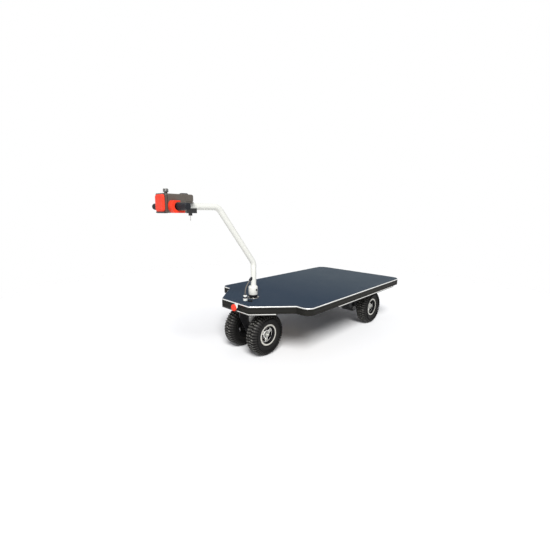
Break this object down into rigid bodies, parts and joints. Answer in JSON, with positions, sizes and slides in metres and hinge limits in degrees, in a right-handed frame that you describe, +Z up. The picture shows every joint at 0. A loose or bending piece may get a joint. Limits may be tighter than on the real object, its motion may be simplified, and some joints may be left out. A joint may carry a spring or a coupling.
{
  "type": "electric platform cart",
  "caption": "Low electric platform cart with a narrow nose, tiller-steered twin front wheels, a driven rear axle and a red-padded control head.",
  "frame": {"origin": "on the floor under the middle of the whole cart's box", "axes": "+X forward towards the tiller head, +Y to the cart's left, +Z up"},
  "size_m": [1.878, 0.806, 0.975],
  "materials": {
    "deck_mat": "fine-ribbed anti-slip mat",
    "plywood": "sealed board",
    "edge_trim": "anodised edging strip",
    "bumper_rubber": "matt moulded rubber",
    "black_frame": "black powder coat",
    "grey_steel": "pale grey paint",
    "axle_casting": "dark painted casting",
    "motor_black": "black enamel",
    "battery_case": "moulded case",
    "bright_steel": "turned and zinc plated",
    "pale_plastic": "moulded",
    "cable_sheath": "grey sheath",
    "red_plastic": "moulded red",
    "black_steel": "blackened",
    "white_paint": "white powder coat",
    "grip_rubber": "soft moulded grip",
    "head_plastic": "textured dark grey",
    "chrome": "polished",
    "black_plastic": "moulded",
    "tyre": "block tread pneumatic",
    "rim_silver": "silver cast wheel"
  },
  "bodies": {
    "chassis": {"deck_mat": "deck_mat", "deck_board": "plywood", "edge_trim": "edge_trim", "edge_bumper": "bumper_rubber", "deck_frame": "black_frame", "nose_plate": "grey_steel", "axle_plate": "grey_steel", "hanger_left": "black_frame", "hanger_right": "black_frame", "drive_axle": "axle_casting", "drive_motor": "motor_black", "battery_box": "battery_case", "steering_bearing": "bright_steel", "column_flange": "bright_steel", "cable_gland": "pale_plastic", "control_cable": "cable_sheath", "stop_base": "pale_plastic", "stop_button": "red_plastic"},
    "steering": {"steering_shaft": "bright_steel", "shaft_nut": "black_steel", "column_collar": "white_paint", "tiller_tube": "white_paint", "fork_yoke": "grey_steel", "front_axle": "bright_steel", "cable_grommet": "grip_rubber", "head_shell": "head_plastic", "head_pad": "red_plastic", "grip_left": "grip_rubber", "grip_right": "grip_rubber", "paddle_left": "red_plastic", "paddle_right": "red_plastic", "head_knob": "chrome", "head_gauge": "black_plastic", "key_switch": "black_plastic", "ignition_key": "bright_steel"},
    "front_wheels": {"tyre_front_left": "tyre", "rim_front_left": "rim_silver", "tyre_front_right": "tyre", "rim_front_right": "rim_silver"},
    "rear_wheel_left": {"tyre_rear_left": "tyre", "rim_rear_left": "rim_silver"},
    "rear_wheel_right": {"tyre_rear_right": "tyre", "rim_rear_right": "rim_silver"}
  },
  "joints": [
    {"name": "steering", "type": "hinge", "parent": "chassis", "child": "steering", "pos_m": [0.353, 0, 0.3], "axis": [0, 0, 1], "range_deg": [-60, 60], "deforming": ["control_cable"]},
    {"name": "front_wheels_roll", "type": "hinge", "parent": "steering", "child": "front_wheels", "pos_m": [0.353, 0, 0.13], "axis": [0, 1, 0], "continuous": true},
    {"name": "rear_left_roll", "type": "hinge", "parent": "chassis", "child": "rear_wheel_left", "pos_m": [-0.653, 0.275, 0.13], "axis": [0, 1, 0], "continuous": true},
    {"name": "rear_right_roll", "type": "hinge", "parent": "chassis", "child": "rear_wheel_right", "pos_m": [-0.653, -0.275, 0.13], "axis": [0, 1, 0], "continuous": true}
  ]
}
